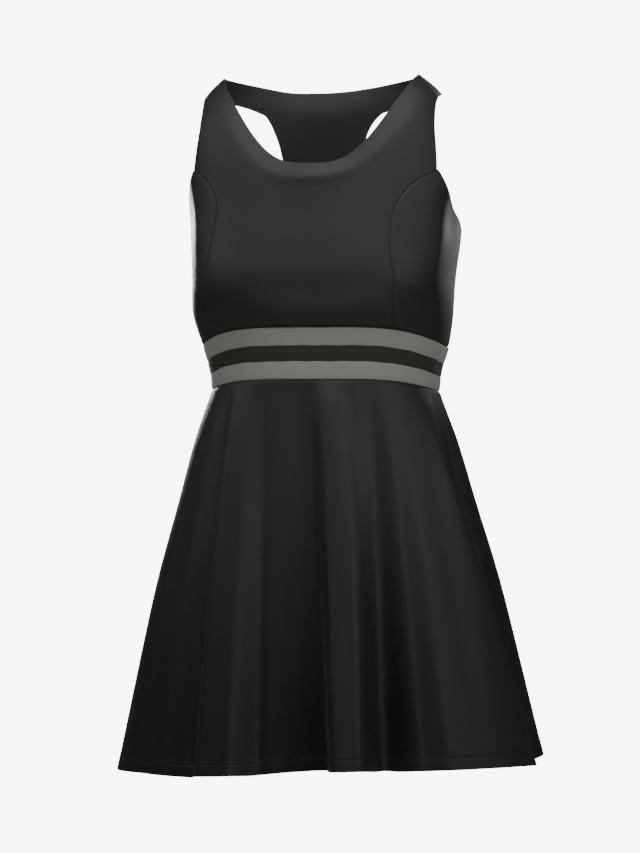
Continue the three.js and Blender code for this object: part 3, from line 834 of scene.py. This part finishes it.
class DRESS_OT_bodice(bpy.types.Operator):
    """Makes the bodice: front, two sides and racerback"""

    bl_idname = "dress.bodice"
    bl_label = "Bodice"

    def execute(self, context):
        wall = context.scene.dress_sizes.bodice_wall / MM
        rows = seam_shares()
        princess = edge_places(PRINCESS_SEAM, rows)
        foot = edge_places(ARMHOLE_FOOT, np.linspace(0, 1, 40))
        underarm = foot[-1]
        side_seam = np.stack((np.full(len(rows), underarm[0]), underarm[1] * rows), -1)
        princess[0, 1] = side_seam[0, 1] = SEAM_FOOT
        front_edge = main_edge(princess, FRONT_ARMHOLE)
        back_edge = main_edge(side_seam, BACK_ARMHOLE)
        seam_end = BODICE_ROWS["seam"]
        strap = seam_end + BODICE_ROWS["armhole"]
        steps = np.arange(len(front_edge))
        sewn = np.maximum(
            1 - smoothstep(seam_end - 4, seam_end + 2, steps), smoothstep(strap - 2, strap + 2, steps)
        )[:, None]
        gap = mix(wall / 2, SEAM_INSET, sewn)
        front = main_places(front_edge, front_edge[:, 1], 0, gap)
        back = main_places(back_edge, back_rises(back_edge, underarm[1]), math.pi, gap)
        left = side_places(princess, side_seam, foot, SEAM_INSET)
        right = tuple(grid[:, ::-1] * sign for grid, sign in zip(left, (-1, 1)))
        self.panel("bodice_front", front, wall, sewn, (0.27, 0.31), 0.055)
        self.panel("bodice_back", back, wall, sewn, (0.33, 0.31), 0.07)
        self.panel("bodice_side_left", left, wall, 1, (0.115, 0.2), 0.0195)
        self.panel("bodice_side_right", right, wall, 1, (0.115, 0.2), 0.0195)
        return {"FINISHED"}

    def panel(self, node, places, wall, sewn, flat, area):
        points = bodice_point(*places)
        normals = bodice_normals(*places)
        points = tuck_edges(points, normals, deep=1.5, wide=2.6, bottom=1)
        points = tuck_edges(points, normals, deep=0.7, wide=1.5, left=sewn, right=sewn)
        piece = cloth_shell(node + "_cloth", points, grid_normals(points, False), wall, JERSEY)
        finish_piece(piece, node)


# The waistband's columns, the shares of a stripe's height where its rows lie, how far the
# webbing stands out between its seams, and how strongly it wavers.
BAND_SPANS = 360
STRIPE_SHARES = np.array([0, 0.02, 0.05, 0.1, 0.18, 0.3, 0.5, 0.7, 0.82, 0.9, 0.95, 0.98, 1])
STRIPE_PUFF = 0.45
STRIPE_WAVER = 0.6


class DRESS_OT_waistband(bpy.types.Operator):
    """Makes the waistband's three stripes of elastic webbing"""

    bl_idname = "dress.waistband"
    bl_label = "Waistband"

    def execute(self, context):
        wall = context.scene.dress_sizes.band_wall / MM
        total = sum(STRIPE_HEIGHTS.values())
        angles = np.linspace(-math.pi, math.pi, BAND_SPANS, endpoint=False)
        inset = SEAM_INSET / total
        puff = STRIPE_PUFF * (1 - (2 * STRIPE_SHARES - 1) ** 4)
        top = 0.0
        for stripe, height in STRIPE_HEIGHTS.items():
            bottom = top + height / total
            drops = mix(bottom - inset, top + inset, STRIPE_SHARES)
            points = np.stack([band_point(angles, drop) for drop in drops])
            normals = grid_normals(points, True)
            uneven = 0.25 * np.sin(9 * angles + 3 * top) + 0.2 * np.sin(23 * angles + 7 * top + 1)
            points = points + normals * (puff[:, None] + uneven[None] * STRIPE_WAVER)[..., None]
            colour = "black" if stripe == "middle" else "grey"
            name = f"waistband_{stripe}"
            finishes = [colour + "_stripe_webbing"] * 2
            piece = cloth_shell(name + "_webbing", points, grid_normals(points, True), wall, finishes, True)
            finish_piece(piece, name)
            top = bottom
        return {"FINISHED"}


FRONT_SPANS = 300
BACK_SPANS = 260
SKIRT_SPANS = 112
STITCH_LINES = (15.0, 12.0)
# How much closer a row's columns lie at a lap, and over how many degrees.
LAP_CROWD = 2.6
LAP_CROWD_WIDTH = 3.2
ROW_SAMPLES = 2400
# In millimetres: the depth and width of the groove that each stitch line presses in, how far
# the hem stands out, the depth and width of the tuck at the waistband, and the columns' ease.
STITCH_GROOVE = (0.45, 0.8)
HEM_OUT = 0.35
WAIST_TUCK = (1.3, 2.2)
SIDE_EASE = 6


def skirt_drops(hem_depth):
    """Drops of the skirt's rows from the hem up, closest at the hem's stitches and the top."""
    foot = np.array([0, 0.6, 1.5, 3, 5, 7.5, 10])
    stitched = np.arange(11.0, hem_depth + 2.6, 0.5)
    top = np.array([6, 4.3, 3, 2, 1.2, 0.6, 0])
    body = np.linspace(hem_depth + 4, SKIRT_LENGTH - 8, SKIRT_SPANS)
    return 1 - np.concatenate((foot, stitched, body, SKIRT_LENGTH - top)) / SKIRT_LENGTH


def skirt_angles(drop, start, end, spans):
    """Angles along one row, closer together at the folds that lap over."""
    fine = np.linspace(start, end, ROW_SAMPLES)
    crowd = np.ones_like(fine)
    for waist, hem, *_ in SKIRT_LAPS:
        centre = mix(waist, hem, drop**FOLD_DRIFT)
        crowd += LAP_CROWD * bell(wrapped(np.degrees(fine), centre), LAP_CROWD_WIDTH)
    run = np.concatenate(([0], np.cumsum((crowd[1:] + crowd[:-1]) / 2)))
    shares = eased_shares(spans + 1, SKIRT_WIDTH, SKIRT_EDGE_STEPS)
    return np.interp(shares * run[-1], run, fine)


def skirt_grid(sizes):
    """The whole skirt's outer face as one ring of points, its normals and its rows' heights."""
    drops = skirt_drops(sizes.hem_depth / MM)
    rows = []
    for drop in np.maximum(drops, 0.001):
        front = skirt_angles(drop, -math.pi / 2, math.pi / 2, FRONT_SPANS)
        back = skirt_angles(drop, math.pi / 2, 3 * math.pi / 2, BACK_SPANS)
        rows.append(skirt_row(np.concatenate((front, back[1:-1])), drop))
    ring = np.stack(rows)
    return ring, grid_normals(ring, True), (1 - drops) * SKIRT_LENGTH


class DRESS_OT_skirt(bpy.types.Operator):
    """Makes the flared skirt's front and back, with their turned-up hem"""

    bl_idname = "dress.skirt"
    bl_label = "Skirt"

    def execute(self, context):
        sizes = context.scene.dress_sizes
        hem_depth = sizes.hem_depth / MM
        ring, normals, height = skirt_grid(sizes)
        pressed = sum(STITCH_GROOVE[0] * bell(height - line, STITCH_GROOVE[1]) for line in STITCH_LINES)
        hem = HEM_OUT * smoothstep(hem_depth + 1.2, hem_depth - 0.6, height)
        tucked = WAIST_TUCK[0] * bell(SKIRT_LENGTH - height, WAIST_TUCK[1])
        ring = ring + normals * (hem - pressed - tucked)[:, None, None]
        normals = grid_normals(ring, True)
        wall = np.where(height < hem_depth, sizes.hem_wall, sizes.skirt_wall) / MM
        spans = {
            "skirt_front": np.arange(0, FRONT_SPANS + 1),
            "skirt_back": np.append(np.arange(FRONT_SPANS, ring.shape[1]), 0),
        }
        for node, columns in spans.items():
            points, facing = inset_sides(ring[:, columns], SEAM_INSET), normals[:, columns]
            points = tuck_edges(points, facing, deep=0.6, wide=1.4, left=1, right=1)
            piece = cloth_shell(node + "_cloth", points, facing, wall[:, None], JERSEY)
            finish_piece(piece, node)
        return {"FINISHED"}


def inset_sides(points, gap):
    """Draws a grid's two side edges in by a gap, easing the move over the next columns."""
    along = grid_lengths(points, 1)
    tangent = unit(np.gradient(points, axis=1))
    moved = points.copy()
    for sign, distance in ((1, along), (-1, along[:, -1:] - along)):
        moved += sign * tangent * (gap * np.exp(-distance / SIDE_EASE))[..., None]
    return moved


def stitch_tree():
    """A tree that sets stitches at even steps along a line of the mesh."""
    inputs = (
        ("Geometry", "Line"),
        ("Float", "Pitch"),
        ("Float", "Stitch length"),
        ("Float", "Thread width"),
        ("Material", "Thread"),
    )
    tree, given, result = new_group("Hem stitches", inputs, [("Geometry", "Stitches")], "GeometryNodeTree")
    curve = add_node(tree, "GeometryNodeMeshToCurve", in_0=given["Line"])
    steps = add_node(
        tree, "GeometryNodeResampleCurve", mode="LENGTH", in_Curve=curve.outputs[0], in_Length=given["Pitch"]
    )
    bead = add_node(tree, "GeometryNodeMeshUVSphere", in_Segments=6, in_Rings=5, in_Radius=0.5)
    smooth = add_node(tree, "GeometryNodeSetShadeSmooth", in_0=bead.outputs[0])
    tangent = add_node(tree, "GeometryNodeInputTangent")
    turn = add_node(tree, "FunctionNodeAlignRotationToVector", axis="X", in_Vector=tangent.outputs[0])
    uneven = add_node(tree, "FunctionNodeRandomValue", data_type="FLOAT", in_2=0.86, in_3=1.08, in_Seed=7)
    length = maths(tree, "MULTIPLY", given["Stitch length"], uneven.outputs[1])
    width = given["Thread width"]
    scale = add_node(tree, "ShaderNodeCombineXYZ", in_0=length, in_1=width, in_2=width)
    copies = add_node(
        tree, "GeometryNodeInstanceOnPoints", in_Points=steps.outputs[0], in_Instance=smooth.outputs[0],
        in_Rotation=turn.outputs[0], in_Scale=scale.outputs[0],
    )
    real = add_node(tree, "GeometryNodeRealizeInstances", in_0=copies.outputs[0])
    finish = add_node(tree, "GeometryNodeSetMaterial", in_0=real.outputs[0], in_Material=given["Thread"])
    tree.links.new(finish.outputs[0], result[0])
    return tree


STITCH_LIFT = 0.12


class DRESS_OT_hem_stitches(bpy.types.Operator):
    """Sews the hem's two rows of stitches"""

    bl_idname = "dress.hem_stitches"
    bl_label = "Hem stitches"

    def execute(self, context):
        sizes = context.scene.dress_sizes
        ring, normals, height = skirt_grid(sizes)
        count = ring.shape[1]
        points, edges = [], []
        for line in STITCH_LINES:
            row = int(np.argmin(np.abs(height - line)))
            start = len(points) * count
            points.append((ring[row] + normals[row] * STITCH_LIFT) * MM)
            edges += [(start + k, start + (k + 1) % count) for k in range(count)]
        mesh = bpy.data.meshes.new("hem_stitch_lines")
        mesh.from_pydata(np.vstack(points).tolist(), edges, [])
        line_object = add_object("hem_stitch_lines", mesh)
        sewing = line_object.modifiers.new("Stitches", "NODES")
        sewing.node_group = stitch_tree()
        values = {
            "Pitch": sizes.stitch_pitch,
            "Stitch length": sizes.stitch_length,
            "Thread width": sizes.stitch_width,
            "Thread": finish_named("hem_thread"),
        }
        for item in sewing.node_group.interface.items_tree:
            if item.name in values:
                sewing[item.identifier] = values[item.name]
        context.view_layer.update()
        graph = context.evaluated_depsgraph_get()
        sewn = bpy.data.meshes.new_from_object(line_object.evaluated_get(graph))
        bpy.data.objects.remove(line_object)
        if not sewn.polygons:
            raise RuntimeError("the hem has no stitches")
        piece = add_object("hem_stitches", sewn)
        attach(piece, "root")
        return {"FINISHED"}


# Studio


WHITE = 8.0
FLOOR_RADIUS = 14
FLOOR_FADE = (0.9, 2.9)
# Each light's name and its power's name in the settings, degrees round to the wearer's left and
# up, its size, the height that it faces, its distance and the angle that it spreads over.
LIGHTS = (
    ("key_light", "key", 5, 62, (0.9, 0.6), -0.16, 1.1, 180),
    ("side_light_right", "side_right", -68, 34, (0.7, 0.7), -0.42, 1.6, 180),
    ("side_light_left", "side_left", 54, 22, (0.8, 0.8), -0.5, 2.4, 180),
    ("rim_light_right", "rim_right", -150, 10, (0.5, 0.3), -0.2, 2.4, 14),
    ("rim_light_left", "rim_left", 150, 16, (0.2, 0.2), -0.15, 2.4, 9),
    ("low_light", "low", 4, -24, (0.5, 0.3), -0.28, 1.5, 26),
)


def add_light(studio, name, power, around, up, size, aim, distance, spread):
    """A soft light that faces the dress."""
    light = bpy.data.lights.new(name, "AREA")
    light.shape = "RECTANGLE"
    light.size, light.size_y = size
    light.energy = getattr(studio, power)
    light.spread = math.radians(spread)
    lamp = add_object(name, light)
    around, up = math.radians(around), math.radians(up)
    toward = Vector((math.sin(around) * math.cos(up), -math.cos(around) * math.cos(up), math.sin(up)))
    lamp.location = Vector((0, 0, aim)) + toward * distance
    lamp.rotation_euler = (-toward).to_track_quat("-Z", "Y").to_euler()


def seen_or_lit(tree, seen, lit):
    """A mix of two backgrounds or surfaces: one as the camera sees it, one as it gives light."""
    path = add_node(tree, "ShaderNodeLightPath").outputs["Is Camera Ray"]
    return add_node(tree, "ShaderNodeMixShader", in_0=path, in_1=lit, in_2=seen).outputs[0]


def white_room(studio):
    world = bpy.data.worlds.new("White room")
    world.use_nodes = True
    tree = world.node_tree
    tree.nodes.clear()
    seen, lit = (
        add_node(tree, "ShaderNodeBackground", in_Color=(1, 1, 1, 1), in_Strength=strength).outputs[0]
        for strength in (WHITE, studio.surroundings)
    )
    add_node(tree, "ShaderNodeOutputWorld", in_Surface=seen_or_lit(tree, seen, lit))
    bpy.context.scene.world = world


def floor_material(colour):
    """A pale floor that fades into the white room away from the dress."""
    material = bpy.data.materials.new("pale_floor")
    material.use_nodes = True
    tree = material.node_tree
    shader = tree.nodes["Principled BSDF"]
    set_up(tree, shader, in_Base_Color=colour, in_Roughness=0.9)
    place = add_node(tree, "ShaderNodeTexCoord").outputs["Object"]
    flat = add_node(tree, "ShaderNodeVectorMath", operation="MULTIPLY", in_0=place, in_1=(1, 1, 0))
    far = add_node(tree, "ShaderNodeVectorMath", operation="LENGTH", in_0=flat.outputs[0])
    fade = add_node(
        tree, "ShaderNodeMapRange", interpolation_type="SMOOTHSTEP", in_Value=far.outputs["Value"],
        in_From_Min=FLOOR_FADE[0], in_From_Max=FLOOR_FADE[1],
    )
    glow = add_node(tree, "ShaderNodeEmission", in_Color=(1, 1, 1, 1), in_Strength=WHITE)
    blend = add_node(
        tree, "ShaderNodeMixShader", in_0=fade.outputs[0], in_1=shader.outputs[0], in_2=glow.outputs[0]
    )
    surface = seen_or_lit(tree, blend.outputs[0], shader.outputs[0])
    set_up(tree, tree.nodes["Material Output"], in_Surface=surface)
    return material


class DRESS_OT_studio(bpy.types.Operator):
    """Sets up the pale floor, the white room, the soft lights and the camera"""

    bl_idname = "dress.studio"
    bl_label = "Studio"

    def execute(self, context):
        studio = context.scene.dress_studio
        white_room(studio)
        self.add_floor(context, studio)
        for light in LIGHTS:
            add_light(studio, *light)
        self.add_camera(context, studio)
        return {"FINISHED"}

    def add_floor(self, context, studio):
        height = CAD_BOX[0].z - studio.floor_depth
        turns = np.linspace(0, math.tau, 96, endpoint=False)
        rim = [(FLOOR_RADIUS * math.cos(a), FLOOR_RADIUS * math.sin(a), height) for a in turns]
        mesh = bpy.data.meshes.new("floor")
        mesh.from_pydata(rim, [], [list(range(len(rim)))])
        mesh.materials.append(floor_material(context.scene.dress_colours.floor))
        add_object("floor", mesh)

    def add_camera(self, context, studio):
        toward = Vector((math.sin(studio.azimuth), -math.cos(studio.azimuth), 0))
        right = Vector((math.cos(studio.azimuth), math.sin(studio.azimuth), 0))
        aim = Vector((0, 0, studio.height)) - right * studio.aside
        camera = bpy.data.cameras.new("camera")
        camera.lens = studio.lens
        camera.sensor_width = 36
        camera.clip_start, camera.clip_end = 0.05, 60
        view = add_object("camera", camera)
        view.location = aim + toward * studio.distance
        view.rotation_euler = (-toward).to_track_quat("-Z", "Y").to_euler()
        context.scene.camera = view


class DRESS_PT_sidebar(bpy.types.Panel):
    """The dress's pieces and settings"""

    bl_idname = "DRESS_PT_sidebar"
    bl_label = "Pickleball dress"
    bl_space_type = "VIEW_3D"
    bl_region_type = "UI"
    bl_category = "Dress"

    def draw(self, context):
        layout = self.layout
        for operator in OPERATORS:
            layout.operator(operator.bl_idname)
        for settings in GROUPS:
            group = getattr(context.scene, settings)
            box = layout.box()
            for name in group.bl_rna.properties.keys():
                if name not in ("rna_type", "name"):
                    box.prop(group, name)


OPERATORS = (DRESS_OT_studio, DRESS_OT_bodice, DRESS_OT_waistband, DRESS_OT_skirt, DRESS_OT_hem_stitches)
GROUPS = {"dress_sizes": DressSizes, "dress_colours": DressColours, "dress_studio": DressStudio}
CLASSES = (*GROUPS.values(), *OPERATORS, DRESS_PT_sidebar)


def register():
    for each in CLASSES:
        bpy.utils.register_class(each)
    for name, group in GROUPS.items():
        setattr(bpy.types.Scene, name, bpy.props.PointerProperty(type=group))


def unregister():
    for name in GROUPS:
        delattr(bpy.types.Scene, name)
    for each in reversed(CLASSES):
        bpy.utils.unregister_class(each)


def main():
    """Builds the whole dress and its studio."""
    register()
    bpy.ops.dress.studio()
    bpy.ops.dress.bodice()
    bpy.ops.dress.waistband()
    bpy.ops.dress.skirt()
    bpy.ops.dress.hem_stitches()


if __name__ == "__main__":
    main()
